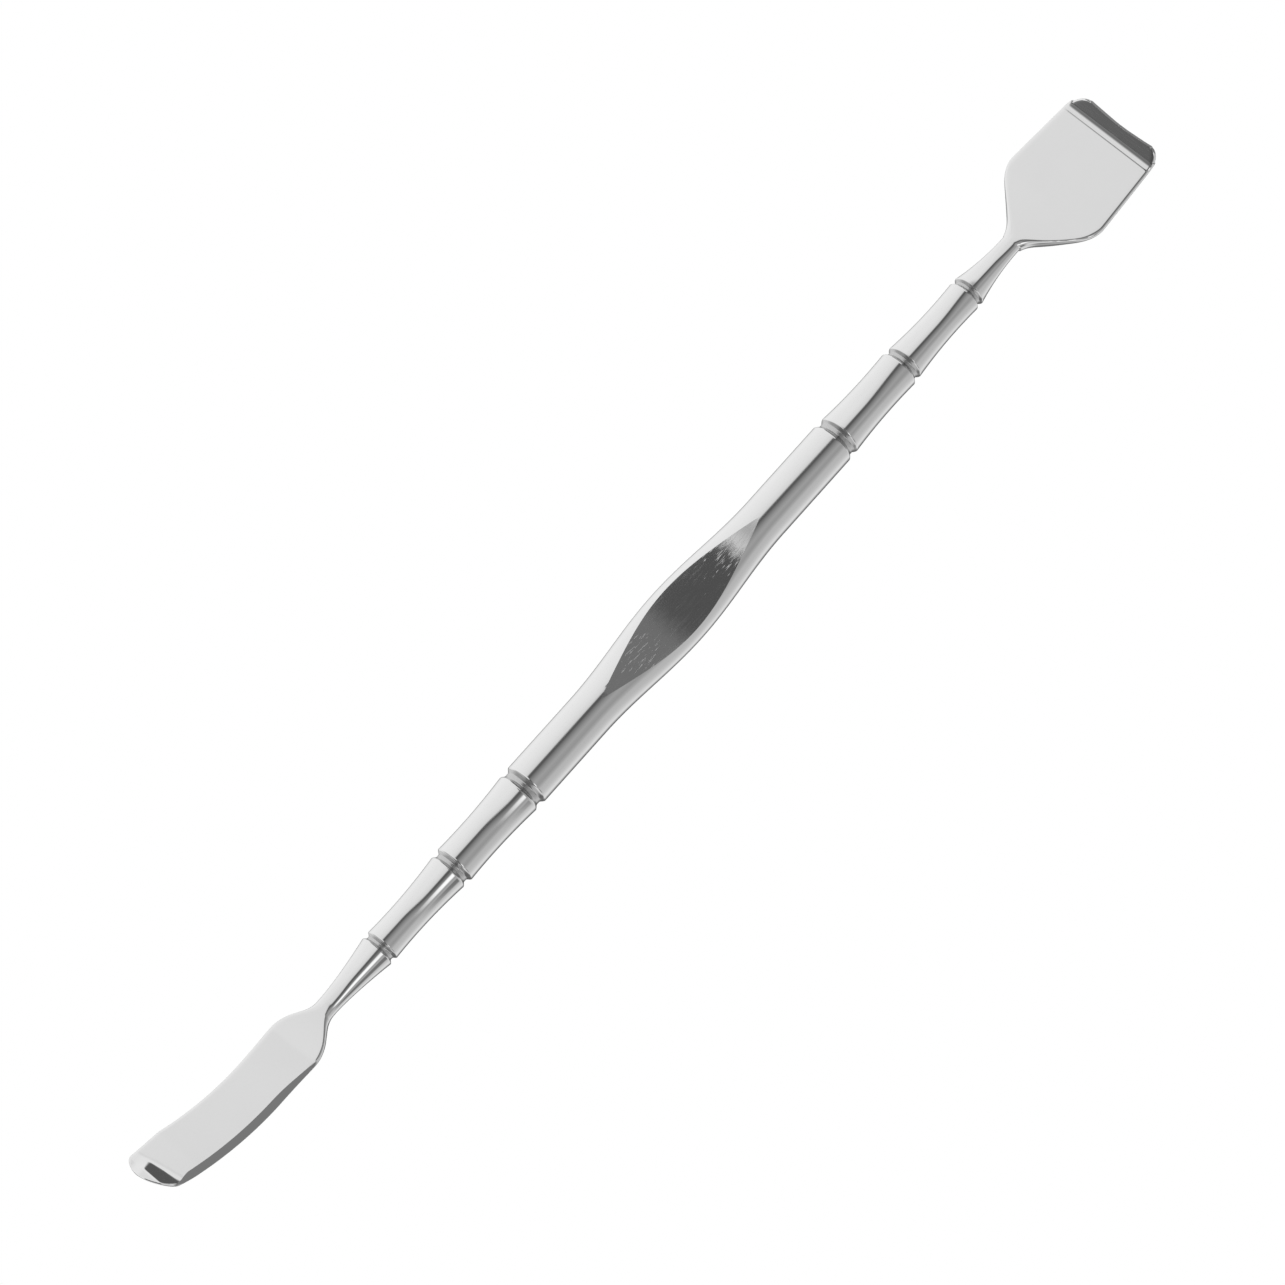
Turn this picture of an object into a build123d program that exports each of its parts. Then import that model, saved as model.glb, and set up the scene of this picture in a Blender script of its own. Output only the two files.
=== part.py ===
from build123d import *
from math import asin, cos, pi, radians, sin, sqrt
import os

# Double-ended sculpting spatula: a turned, bamboo-patterned steel handle with a broad lipped
# scraper blade at the +X end and a narrow, side-swept blade at the -X end.
# +X runs along the handle towards the broad blade, +Z is the side that the working faces and
# the ground grip flat look to, and the origin is on the handle's axis, midway between its
# outermost grooves. Each blade's tang sits in a blind bore, and its seam is in a groove.

# ---- driving dimensions, in millimetres and degrees ----
bar_radius = 2.88               # plain round bar on both sides of the grip
grip_half_width = 3.93          # the grip swells sideways only
grip_half_length = 16.2
grip_centre_x = -0.7
grip_stations = 9
flat_half_thickness = 1.9       # from the axis to the middle of a ground grip flat
flat_half_length = 15.1
flat_centre_x = -0.5
flat_run_out = 0.02             # height of a flat's ends above the bar, so that they run out

# one turned end of the handle, from the grip outwards: groove place, rim radii, rim width
groove_depth = 0.34
groove_round = 0.3              # rounding of a groove's rims
inner_groove = dict(x=28.6, inner_rim=2.88, outer_rim=2.80, width=1.5)
middle_groove = dict(x=41.1, inner_rim=2.60, outer_rim=2.48, width=1.2)
outer_groove = dict(x=53.5, inner_rim=2.20, outer_rim=2.17, width=0.9)
long_waist_radius = 2.52        # waist of the bamboo segment next to the grip
short_waist_radius = 2.12       # waist of the outer bamboo segment

tang_radius = 1.0
tang_length = 9.0
root_share = 0.7                # plate's size inside the round neck, as a share of the neck's
root_reach = 2.0                # how far the neck's ridge runs on into the plate
root_round = 1.0                # rounding between neck and flare

broad_neck_x = 62.2             # thinnest place of the neck
broad_neck_half_width = 1.25
broad_neck_half_height = 1.0
broad_shoulder_x = 69.6         # where flare and side would meet without the rounding
broad_shoulder_half_width = 7.35
broad_shoulder_round = 4.0
broad_thickness = 0.9
broad_fold_x = 80.3             # start of the bend into the lip
broad_fold_half_width = 6.7
lip_angle = 45.0
lip_bend_radius = 1.7           # of the upper face
lip_length = 1.55               # straight part past the bend
lip_thickness = 0.7
lip_corner_cuts = {1: 2.2, -1: 1.4}   # by side: the +Y corner is cut further than the other
lip_corner_round = 0.9
lip_hollow = 0.3                # depth of the shallow hollow in the lip's edge
broad_offset = -0.15            # the broad plate lies a little to -Y of the axis

narrow_neck_x = -62.2
narrow_neck_half_width = 1.25
narrow_neck_half_height = 1.0
narrow_shoulder_x = -67.1
narrow_shoulder_half_width = 3.5
narrow_shoulder_round = 1.8
narrow_plate_x = -68.6          # where the plate reaches its full flatness
narrow_half_width = 3.3         # along the sweep
narrow_thickness = 1.0
narrow_offset = -0.15           # the narrow blade's straight part lies a little to -Y
narrow_sweep_x = -74.0          # where the sideways sweep begins
narrow_sweep_radius = 44.0
narrow_tip_x = -91.0
narrow_tip_half_width = 3.25
narrow_tip_round = 1.0
narrow_tip_straight = 4.0       # the inner edge runs straight over this length at the tip
narrow_outer_corner = 1.7       # how far each corner lies behind the tip
narrow_inner_corner = 0.4
narrow_tip_lean = 0.4           # the tip's foremost point lies this far to +Y of its middle
narrow_curl_length = 2.6        # the tip curls up over this length
narrow_curl_rise = 0.35
narrow_bevel_width = 1.0        # ground bevel along the outer, convex edge
narrow_bevel_drop = 0.45


def outlined(lines):
    """Face inside a closed outline of lines and arcs."""
    return make_face([edge for line in lines for edge in line.edges()])


def rounded(profile, corners):
    """Round an outline's corners, each given as (x, y, radius)."""
    for x, y, radius in corners:
        profile = fillet(profile.vertices().sort_by_distance((x, y, 0))[0], radius)
    return profile


# ---- handle ----
def groove_points(groove):
    """Corner points (x, radius) of one turned groove, from the grip side outwards."""
    half_width = groove["width"] / 2
    floor_radius = min(groove["inner_rim"], groove["outer_rim"]) - groove_depth
    return [
        (groove["x"] - half_width, groove["inner_rim"]),
        (groove["x"] - half_width / 2, floor_radius),
        (groove["x"] + half_width / 2, floor_radius),
        (groove["x"] + half_width, groove["outer_rim"]),
    ]


def waisted(start, end, waist_radius):
    """Concave edge of a bamboo segment between two groove rims."""
    waist = ((start[0] + end[0]) / 2, waist_radius)
    return ThreePointArc(start, waist, end)


def turned_end(start_x):
    """Everything that is turned round the axis from start_x to the outer groove."""
    inner = groove_points(inner_groove)
    middle = groove_points(middle_groove)
    outer = groove_points(outer_groove)
    end_x = outer_groove["x"]
    floor_radius = outer[1][1]
    outline = [
        Polyline((end_x, 0), (start_x, 0), (start_x, bar_radius), *inner),
        waisted(inner[-1], middle[0], long_waist_radius),
        Polyline(*middle),
        waisted(middle[-1], outer[0], short_waist_radius),
        Polyline(outer[0], outer[1], (end_x, floor_radius), (end_x, 0)),
    ]
    profile = outlined(outline)
    rims = [inner[0], inner[-1], middle[0], middle[-1], outer[0]]
    corners = [(x, radius, groove_round) for x, radius in rims]
    return revolve(rounded(profile, corners), Axis.X)


def grip():
    """Middle of the handle: round at both ends, swollen sideways between them."""
    sections = []
    for i in range(grip_stations):
        along = 2 * i / (grip_stations - 1) - 1
        swell = (grip_half_width - bar_radius) * (1 + cos(pi * along)) / 2
        place = Plane(
            origin=(grip_centre_x + along * grip_half_length, 0, 0),
            x_dir=(0, 1, 0),
            z_dir=(1, 0, 0),
        )
        sections.append(place * Ellipse(bar_radius + swell, bar_radius))
    return loft(sections)


def grip_flats():
    """The blocks that cut the two ground flats, each hollow and easing out at both ends."""
    rise = bar_radius + flat_run_out - flat_half_thickness
    quarter = flat_half_length / 2
    arc_radius = (quarter**2 + rise**2 / 4) / rise
    half_turn = asin(quarter / arc_radius) / 2
    end_z = flat_half_thickness + rise
    middle_z = flat_half_thickness + rise / 2
    ease_x = flat_half_length - arc_radius * sin(half_turn)
    ease_z = end_z - arc_radius * (1 - cos(half_turn))
    top_z = 3 * bar_radius
    outline = [
        ThreePointArc((-flat_half_length, end_z), (-ease_x, ease_z), (-quarter, middle_z)),
        ThreePointArc((-quarter, middle_z), (0, flat_half_thickness), (quarter, middle_z)),
        ThreePointArc((quarter, middle_z), (ease_x, ease_z), (flat_half_length, end_z)),
        Polyline(
            (flat_half_length, end_z), (flat_half_length, top_z), (-flat_half_length, top_z),
            (-flat_half_length, end_z),
        ),
    ]
    block = extrude(Plane.XZ * outlined(outline), 2 * grip_half_width, both=True)
    upper = Pos(flat_centre_x, 0, 0) * block
    return [upper, mirror(upper, Plane.XY)]


def handle():
    """The whole bar, with a blind bore for a tang in each end."""
    right_end = turned_end(grip_centre_x + grip_half_length)
    left_end = mirror(turned_end(grip_half_length - grip_centre_x), Plane.YZ)
    bar = right_end + grip() + left_end
    bore = Rot(0, 90, 0) * Cylinder(tang_radius, tang_length)
    bore_x = outer_groove["x"] - tang_length / 2
    cuts = grip_flats() + [Pos(side * bore_x, 0, 0) * bore for side in (-1, 1)]
    return bar - cuts


# ---- what both blades share ----
def tang():
    """Round peg from the seam inwards, for a blade at the +X end."""
    return Pos(outer_groove["x"] - tang_length / 2, 0, 0) * (
        Rot(0, 90, 0) * Cylinder(tang_radius, tang_length)
    )


def neck(half_width, half_height, neck_x):
    """Collar beyond the seam groove, drawn down to the thin neck and on into the blade."""
    seam_x = outer_groove["x"]
    rim_radius = outer_groove["outer_rim"]
    collar_x = seam_x + outer_groove["width"]
    outer = groove_points(outer_groove)
    collar_outline = Polyline(
        (seam_x, 0), (seam_x, outer[2][1]), outer[2], outer[3], (collar_x, rim_radius),
        (collar_x, 0), close=True,
    )
    collar = revolve(outlined([collar_outline]), Axis.X)
    sections = []
    for along in (0, 0.3, 0.6, 1):
        ease = along * (2 - along)
        place = Plane(
            origin=(collar_x + along * (neck_x - collar_x), 0, 0),
            x_dir=(0, 1, 0),
            z_dir=(1, 0, 0),
        )
        size_y = rim_radius + ease * (half_width - rim_radius)
        size_z = rim_radius + ease * (half_height - rim_radius)
        sections.append(place * Ellipse(size_y, size_z))
    root = Plane(origin=(neck_x + root_reach, 0, 0), x_dir=(0, 1, 0), z_dir=(1, 0, 0))
    sections.append(root * Ellipse(half_width, half_height / 3))
    return collar + loft(sections)


def blade_side(neck_x, half_height, plate_x, half_thickness):
    """Upper edge of a blade's side view, easing down from the neck to the flat plate."""
    return Spline(
        (neck_x, half_height),
        (plate_x, half_thickness),
        tangents=[(1, 0), (1, 0)],
    )


# ---- broad blade ----
def lip_point(past_bend, depth):
    """Point (x, z) on the lip, past the end of its bend and below its upper face."""
    turn = radians(lip_angle)
    bend_end_x = broad_fold_x + lip_bend_radius * sin(turn)
    bend_end_z = broad_thickness / 2 + lip_bend_radius * (1 - cos(turn))
    return (
        bend_end_x + past_bend * cos(turn) + depth * sin(turn),
        bend_end_z + past_bend * sin(turn) - depth * cos(turn),
    )


def broad_plan():
    """Broad blade from above: neck, flare, shoulders, sides and the lip's cut corners."""
    tip_x = lip_point(lip_length, lip_thickness)[0]
    root_y = root_share * broad_neck_half_width
    edges = [Line((broad_neck_x, -root_y), (broad_neck_x, root_y))]
    corners = []
    edge_ends = []
    for side, cut in lip_corner_cuts.items():
        points = [
            (broad_neck_x, side * root_y),
            (broad_neck_x + root_y / 2, side * root_y),
            (broad_shoulder_x, side * broad_shoulder_half_width),
            (tip_x - cut, side * broad_fold_half_width),
            (tip_x, side * (broad_fold_half_width - cut)),
        ]
        edges.append(Polyline(*points))
        roundings = (root_round, broad_shoulder_round, lip_corner_round, lip_corner_round)
        corners += [(*point, radius) for point, radius in zip(points[1:], roundings)]
        edge_ends.append(points[-1])
    hollow = (tip_x - lip_hollow, (edge_ends[0][1] + edge_ends[1][1]) / 2)
    edges.append(ThreePointArc(edge_ends[0], hollow, edge_ends[1]))
    profile = outlined(edges)
    return Pos(0, broad_offset, 0) * rounded(profile, corners)


def broad_side():
    """Broad blade from the side: it thins from the neck, lies flat, and ends in the lip."""
    plate_x = broad_shoulder_x
    half = broad_thickness / 2
    turn = radians(lip_angle)
    centre_z = half + lip_bend_radius
    outer_radius = lip_bend_radius + broad_thickness
    middle = turn / 2
    upper_middle = (
        broad_fold_x + lip_bend_radius * sin(middle),
        centre_z - lip_bend_radius * cos(middle),
    )
    lower_end = lip_point(0, broad_thickness)
    lower_middle = (
        broad_fold_x + outer_radius * sin(middle),
        centre_z - outer_radius * cos(middle),
    )
    root_z = root_share * broad_neck_half_height
    top = blade_side(broad_neck_x, root_z, plate_x, half)
    outline = [
        top,
        Line((plate_x, half), (broad_fold_x, half)),
        ThreePointArc((broad_fold_x, half), upper_middle, lip_point(0, 0)),
        Polyline(
            lip_point(0, 0),
            lip_point(lip_length, 0),
            lip_point(lip_length, lip_thickness),
            lower_end,
        ),
        ThreePointArc(lower_end, lower_middle, (broad_fold_x, -half)),
        Line((broad_fold_x, -half), (plate_x, -half)),
        mirror(top, Plane.XZ),
        Line((broad_neck_x, -root_z), (broad_neck_x, root_z)),
    ]
    return Plane.XZ * outlined(outline)


def broad_blade():
    """Neck, flared plate and lip in one piece with the tang."""
    tall = 4 * bar_radius
    plate = extrude(broad_plan(), tall, both=True) & extrude(broad_side(), 2 * tall, both=True)
    stem = neck(broad_neck_half_width, broad_neck_half_height, broad_neck_x)
    return plate + stem + tang()


# ---- narrow blade ----
def sweep_point(x, side):
    """Point at x on an edge of the swept part: side +1 is the inner edge, -1 the outer one."""
    radius = narrow_sweep_radius - side * narrow_half_width
    along = narrow_sweep_x - x
    centre_y = narrow_offset + narrow_sweep_radius
    return (x, centre_y - sqrt(radius**2 - along**2))


def narrow_plan():
    """Narrow blade from above: neck, short flare, straight part, sideways sweep and tip."""
    root_x = narrow_neck_x
    root_y = root_share * narrow_neck_half_width
    shoulder_y = narrow_shoulder_half_width
    tip_outer = sweep_point(narrow_tip_x + narrow_outer_corner, -1)
    tip_inner = (narrow_tip_x + narrow_inner_corner, tip_outer[1] + 2 * narrow_tip_half_width)
    tip_middle = (narrow_tip_x, (tip_outer[1] + tip_inner[1]) / 2 + narrow_tip_lean)
    edges = [Line((root_x, -root_y), (root_x, root_y))]
    corners = []
    for side in (1, -1):
        sweep_start = sweep_point(narrow_sweep_x, side)
        shoulder = (narrow_shoulder_x, narrow_offset + side * shoulder_y)
        flare = (root_x - root_y / 2, side * root_y)
        edges.append(Polyline((root_x, side * root_y), flare, shoulder, sweep_start))
        corners += [(*flare, root_round), (*shoulder, narrow_shoulder_round)]
    inner_end = sweep_point(narrow_tip_x + narrow_tip_straight, 1)
    edges += [
        ThreePointArc(
            sweep_point(narrow_sweep_x, 1),
            sweep_point((narrow_sweep_x + inner_end[0]) / 2, 1),
            inner_end,
        ),
        Line(inner_end, tip_inner),
        ThreePointArc(tip_inner, tip_middle, tip_outer),
        ThreePointArc(
            tip_outer,
            sweep_point((narrow_sweep_x + tip_outer[0]) / 2, -1),
            sweep_point(narrow_sweep_x, -1),
        ),
    ]
    corners += [(*tip_inner, narrow_tip_round), (*tip_outer, narrow_tip_round)]
    return rounded(outlined(edges), corners)


def narrow_side():
    """Narrow blade from the side: it thins from the neck, lies flat, and its tip curls up."""
    half = narrow_thickness / 2
    plate_x = narrow_plate_x
    curl_x = narrow_tip_x + narrow_curl_length
    tip_top = half + narrow_curl_rise
    curl_middle = (narrow_tip_x + narrow_curl_length / 2, half + narrow_curl_rise / 4)
    root_z = root_share * narrow_neck_half_height
    top = blade_side(narrow_neck_x, root_z, plate_x, half)
    lower_middle = (curl_middle[0], curl_middle[1] - narrow_thickness)
    outline = [
        top,
        Line((plate_x, half), (curl_x, half)),
        ThreePointArc((curl_x, half), curl_middle, (narrow_tip_x, tip_top)),
        Line((narrow_tip_x, tip_top), (narrow_tip_x, tip_top - narrow_thickness)),
        ThreePointArc((narrow_tip_x, tip_top - narrow_thickness), lower_middle, (curl_x, -half)),
        Line((curl_x, -half), (plate_x, -half)),
        mirror(top, Plane.XZ),
        Line((narrow_neck_x, -root_z), (narrow_neck_x, root_z)),
    ]
    return Plane.XZ * outlined(outline)


def narrow_bevel():
    """Wedge taken off the outer, convex edge of the upper face, by the length of the sweep."""
    top = narrow_thickness / 2
    section = Polyline(
        (0, top - narrow_bevel_drop),
        (narrow_bevel_width, top),
        (narrow_bevel_width, top + narrow_thickness),
        (-narrow_thickness, top + narrow_thickness),
        (-narrow_thickness, top - narrow_bevel_drop),
        close=True,
    )
    edge_radius = narrow_sweep_radius + narrow_half_width
    centre_y = narrow_offset + narrow_sweep_radius
    place = Plane(origin=(0, -edge_radius, 0), x_dir=(0, 1, 0), z_dir=(1, 0, 0))
    ring = revolve(place * outlined([section]), Axis.Z)
    ring = Pos(narrow_sweep_x, centre_y, 0) * ring
    sweep_part = Pos((narrow_sweep_x + narrow_tip_x) / 2, 0, 0) * Box(
        narrow_sweep_x - narrow_tip_x, 8 * narrow_shoulder_half_width, 4 * narrow_thickness
    )
    return ring & sweep_part


def narrow_blade():
    """Neck and long blade in one piece with the tang."""
    tall = 4 * bar_radius
    plate = extrude(narrow_plan(), tall, both=True) & extrude(narrow_side(), tall, both=True)
    plate -= narrow_bevel()
    stem = neck(narrow_neck_half_width, narrow_neck_half_height, -narrow_neck_x)
    return plate + mirror(stem + tang(), Plane.YZ)


# ---- write the pieces ----
pieces = {
    "handle": handle(),
    "broad_blade": broad_blade(),
    "narrow_blade": narrow_blade(),
}
os.makedirs("parts", exist_ok=True)
for name, piece in pieces.items():
    export_step(piece, f"parts/{name}.step")
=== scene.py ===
"""Double-ended sculpting spatula in polished steel: a turned bamboo-pattern handle with a ground
grip, a broad lipped blade and a narrow swept blade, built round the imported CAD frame."""

import math
from collections import namedtuple

import bmesh
import bpy
from mathutils import Matrix, Vector


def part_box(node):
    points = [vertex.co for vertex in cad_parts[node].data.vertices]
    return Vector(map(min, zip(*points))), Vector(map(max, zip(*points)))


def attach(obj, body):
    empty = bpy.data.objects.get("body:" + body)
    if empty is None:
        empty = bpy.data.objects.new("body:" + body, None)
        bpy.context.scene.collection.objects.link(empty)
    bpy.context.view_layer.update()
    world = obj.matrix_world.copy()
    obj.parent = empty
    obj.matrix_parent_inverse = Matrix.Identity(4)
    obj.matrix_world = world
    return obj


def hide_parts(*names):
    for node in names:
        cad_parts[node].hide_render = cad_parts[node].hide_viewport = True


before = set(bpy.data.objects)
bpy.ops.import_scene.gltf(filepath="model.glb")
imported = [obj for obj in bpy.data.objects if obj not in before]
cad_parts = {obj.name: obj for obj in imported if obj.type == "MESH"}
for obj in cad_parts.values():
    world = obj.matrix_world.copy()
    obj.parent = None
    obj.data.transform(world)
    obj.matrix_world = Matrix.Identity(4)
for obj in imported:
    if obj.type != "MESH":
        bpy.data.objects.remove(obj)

bl_info = {
    "name": "Sculpting spatula",
    "version": (1, 0, 0),
    "blender": (4, 5, 0),
    "location": "3D View > Sidebar > Spatula",
    "description": "Models a double-ended steel sculpting spatula and its studio",
    "category": "Add Mesh",
}

MM = 0.001
HANDLE_LOW, HANDLE_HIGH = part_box("handle")
BROAD_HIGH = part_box("broad_blade")[1]
SEAM_X = HANDLE_HIGH.x
BAR_RADIUS = HANDLE_HIGH.z - 0.002 * MM
STEEL_SHADE = 0.86
SIDES = 128  # points round every section
MERGE_DISTANCE = 0.0005 * MM


# ---- user settings ----
def length_setting(name, description, default):
    return bpy.props.FloatProperty(
        name=name, description=description, default=default, unit="LENGTH", precision=5
    )


def share_setting(name, description, default):
    return bpy.props.FloatProperty(
        name=name, description=description, default=default, min=0, max=1, subtype="FACTOR"
    )


def colour_setting(name, description, default):
    return bpy.props.FloatVectorProperty(
        name=name, description=description, default=default, min=0, max=1, size=3, subtype="COLOR"
    )


class SpatulaSizes(bpy.types.PropertyGroup):
    """Sizes of the handle and the blades, all inside the CAD model's box."""

    bar_radius: length_setting("Bar radius", "Plain round bar beside the grip", BAR_RADIUS)
    grip_half_width: length_setting("Grip half width", "Half of the grip's width", HANDLE_HIGH.y)
    flat_height: length_setting("Flat height", "From the axis to a grip flat's middle", 1.9 * MM)
    groove_depth: length_setting("Groove depth", "Depth of a turned groove", 0.34 * MM)
    tang_radius: length_setting("Tang radius", "Radius of a blade's tang", 1.0 * MM)
    tang_length: length_setting("Tang length", "Length of a blade's tang", 9.0 * MM)
    broad_thickness: length_setting("Broad thickness", "Thickness of the broad plate", 0.9 * MM)
    lip_thickness: length_setting("Lip thickness", "Thickness of the lip's edge", 0.7 * MM)
    narrow_thickness: length_setting("Narrow thickness", "Thickness of the narrow blade", 1.0 * MM)


class SpatulaFinish(bpy.types.PropertyGroup):
    """Colour and polish of the steel."""

    steel: colour_setting("Steel", "Colour of polished steel", (STEEL_SHADE,) * 3)
    ground_steel: colour_setting("Ground steel", "Colour of ground flats", (0.8, 0.8, 0.8))
    polish_roughness: share_setting("Polish roughness", "Roughness of polished steel", 0.06)
    ground_roughness: share_setting("Ground roughness", "Roughness of ground flats", 0.12)
    scratches: share_setting("Scratches", "Strength of the fine scratches", 0.35)


# ---- modelling helpers ----
def deselect_all():
    if bpy.context.object and bpy.context.object.mode != "OBJECT":
        bpy.ops.object.mode_set(mode="OBJECT")
    bpy.ops.object.select_all(action="DESELECT")


def activate(piece):
    """Make one piece the only selected, active object."""
    deselect_all()
    piece.select_set(True)
    bpy.context.view_layer.objects.active = piece


class BarLoft:
    """A bar along X, grown section by section with the extrude operator."""

    def __init__(self, name, x, radius):
        deselect_all()
        bpy.ops.mesh.primitive_circle_add(
            vertices=SIDES,
            radius=radius,
            fill_type="NGON",
            location=(x, 0, 0),
            rotation=(0, math.pi / 2, 0),
        )
        self.piece = bpy.context.object
        self.piece.name = name
        self.piece.data.name = name
        bpy.ops.object.transform_apply(location=True, rotation=True, scale=True)
        bpy.ops.object.mode_set(mode="EDIT")
        bpy.ops.mesh.select_mode(type="VERT")
        bpy.ops.mesh.select_all(action="SELECT")
        work = bmesh.from_edit_mesh(self.piece.data)
        mark = work.verts.layers.float.new("turn")
        for vert in work.verts:
            vert[mark] = math.atan2(vert.co.z, vert.co.y)
        self.x, self.radius = x, radius

    def grow(self, x, radius, swell=1.0):
        """Next section of a round stretch: extrude, then scale about the axis."""
        bpy.ops.mesh.extrude_region_move(TRANSFORM_OT_translate={"value": (x - self.x, 0, 0)})
        scale = radius / self.radius
        wide = scale * swell
        bpy.ops.transform.resize(value=(1, wide, scale), center_override=(x, 0, 0))
        self.x, self.radius = x, radius

    def section(self, shape):
        """Next section of a blade: extrude, then set each point by its turn round the axis."""
        bpy.ops.mesh.extrude_region_move()
        work = bmesh.from_edit_mesh(self.piece.data)
        mark = work.verts.layers.float["turn"]
        for vert in work.verts:
            if vert.select:
                vert.co = shape(vert[mark])
        bmesh.update_edit_mesh(self.piece.data)

    def done(self):
        """Close the mesh, turn its faces outwards and leave edit mode."""
        bpy.ops.mesh.select_all(action="SELECT")
        bpy.ops.mesh.remove_doubles(threshold=MERGE_DISTANCE)
        bpy.ops.mesh.normals_make_consistent(inside=False)
        bpy.ops.object.mode_set(mode="OBJECT")
        return self.piece


def ease(share):
    """Smooth step from 0 to 1."""
    share = min(max(share, 0.0), 1.0)
    return share * share * (3 - 2 * share)


def ease_over(x, start, length):
    """Smooth step from 0 at start to 1 a length further on."""
    return ease((x - start) / length)


def blend(low, high, share):
    """Value on the straight line from low to high."""
    return low + (high - low) * share


def soft_least(a, b, reach):
    """The lesser of two values, rounded where they cross."""
    near = max(reach - abs(a - b), 0) / reach
    return min(a, b) - near * near * reach / 4


def soft_most(a, b, reach):
    """The greater of two values, rounded where they cross."""
    return -soft_least(-a, -b, reach)


def steps(start, end, count):
    """Evenly spaced places after start, up to end."""
    return [start + (end - start) * (i + 1) / count for i in range(count)]


# ---- handle ----
Groove = namedtuple("Groove", "place inner_rim outer_rim half_width")
GROOVES = (
    Groove(28.6 * MM, 2.878 * MM, 2.80 * MM, 0.84 * MM),
    Groove(41.1 * MM, 2.60 * MM, 2.48 * MM, 0.70 * MM),
    Groove(53.5 * MM, 2.20 * MM, 2.17 * MM, 0.55 * MM),
)
SEAM_GROOVE = GROOVES[-1]
WAISTS = (2.52 * MM, 2.12 * MM)  # least radius of the segments between the grooves
GROOVE_FLOOR = 0.22  # level share of a groove's half width
GROOVE_FINISH_AND_SHADE = 0.72  # share of the half width that gets the turned finish, whose darker colour is painted shade
TANG_CLEARANCE = 1.2 * MM  # a face nearer to the axis is on a tang or in a bore
RING_GAP = 0.12 * MM  # from a groove's rim to the next ring beside it
GRIP_CENTRE = -0.7 * MM
GRIP_HALF = 16.2 * MM
FLAT_CENTRE = -0.34 * MM
FLAT_HALF = 14.75 * MM
FLAT_RUN_OUT = 0.004 * MM  # how far a flat's ends rise past the bar
FLAT_POWER = 0.9
FLAT_TWIST = (math.radians(-5.5), math.radians(2.5))
GRINDER_OVERHANG = 1.02


def groove_radius(x, groove, depth):
    """Radius inside a turned groove with rounded rims and a round floor."""
    along = (x - groove.place) / groove.half_width
    rim = blend(groove.inner_rim, groove.outer_rim, (along + 1) / 2)
    floor = min(groove.inner_rim, groove.outer_rim) - depth
    return blend(floor, rim, ease_over(abs(along), GROOVE_FLOOR, 1 - GROOVE_FLOOR))


def waist_radius(x, start, end, waist):
    """Hollow side of a bamboo segment, a shallow arc from rim to rim."""
    (x0, r0), (x1, r1) = start, end
    share = (x - x0) / (x1 - x0)
    dip = (r0 + r1) / 2 - waist
    return blend(r0, r1, share) - 4 * dip * share * (1 - share)


def turned_profile(sizes):
    """(x, radius) from the plain bar out to the seam, on the +X side."""
    profile = []
    for number, groove in enumerate(GROOVES):
        last = groove is SEAM_GROOVE
        start = groove.place - groove.half_width
        end = groove.place if last else groove.place + groove.half_width
        for x in [start] + steps(start, end, 16 if last else 32):
            profile.append((x, groove_radius(x, groove, sizes.groove_depth)))
        if last:
            break
        following = GROOVES[number + 1]
        rim = (end, groove.outer_rim)
        next_rim = (following.place - following.half_width, following.inner_rim)
        first = end + RING_GAP
        for x in [first] + steps(first, next_rim[0] - RING_GAP, 20):
            profile.append((x, waist_radius(x, rim, next_rim, WAISTS[number])))
    plain = steps(GRIP_HALF + abs(GRIP_CENTRE), profile[0][0] - RING_GAP, 8)
    return [(x, sizes.bar_radius) for x in plain] + profile


def add_grinder(sizes, side):
    """A block whose near face has the shape of one ground flat: hollow, easing out at both
    ends, and twisted a little along the bar."""
    deselect_all()
    bpy.ops.mesh.primitive_grid_add(x_subdivisions=130, y_subdivisions=1, size=2)
    block = bpy.context.object
    bpy.ops.object.mode_set(mode="EDIT")
    reach = (FLAT_HALF * GRINDER_OVERHANG, 2 * sizes.grip_half_width, 1)
    bpy.ops.transform.resize(value=reach)
    work = bmesh.from_edit_mesh(block.data)
    top = sizes.bar_radius + FLAT_RUN_OUT
    depth = top - sizes.flat_height
    for vert in work.verts:
        along = min(max(vert.co.x / FLAT_HALF, -1), 1)
        height = top - depth * ((1 + math.cos(math.pi * along)) / 2) ** FLAT_POWER
        roll = blend(*FLAT_TWIST, (along + 1) / 2)
        x, y = vert.co.x + FLAT_CENTRE, vert.co.y
        up = Vector((0, math.sin(roll), math.cos(roll)))
        sideways = Vector((0, math.cos(roll), -math.sin(roll)))
        vert.co = Vector((x, 0, 0)) + height * up + y * sideways
    bpy.ops.mesh.select_all(action="SELECT")
    lift = (0, 0, 3 * sizes.bar_radius)
    bpy.ops.mesh.extrude_region_move(TRANSFORM_OT_translate={"value": lift})
    bpy.ops.mesh.select_all(action="SELECT")
    if side < 0:
        half_turn = {"value": math.pi, "orient_axis": "X", "orient_type": "GLOBAL"}
        bpy.ops.transform.rotate(**half_turn, center_override=(0, 0, 0))
    bpy.ops.mesh.normals_make_consistent(inside=False)
    bpy.ops.object.mode_set(mode="OBJECT")
    block.data.materials.append(material("Ground flat"))
    return block


def in_groove(face):
    """True for a face on the flanks or the floor of a turned groove."""
    if math.hypot(face.center.y, face.center.z) <= TANG_CLEARANCE:
        return False
    x = abs(face.center.x)
    return any(abs(x - groove.place) < GROOVE_FINISH_AND_SHADE * groove.half_width for groove in GROOVES)


def finish_faces(piece, name, chosen):
    """Give the faces that are chosen one of the piece's finishes."""
    number = piece.data.materials.find(name)
    for face in piece.data.polygons:
        if chosen(face):
            face.material_index = number


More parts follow.
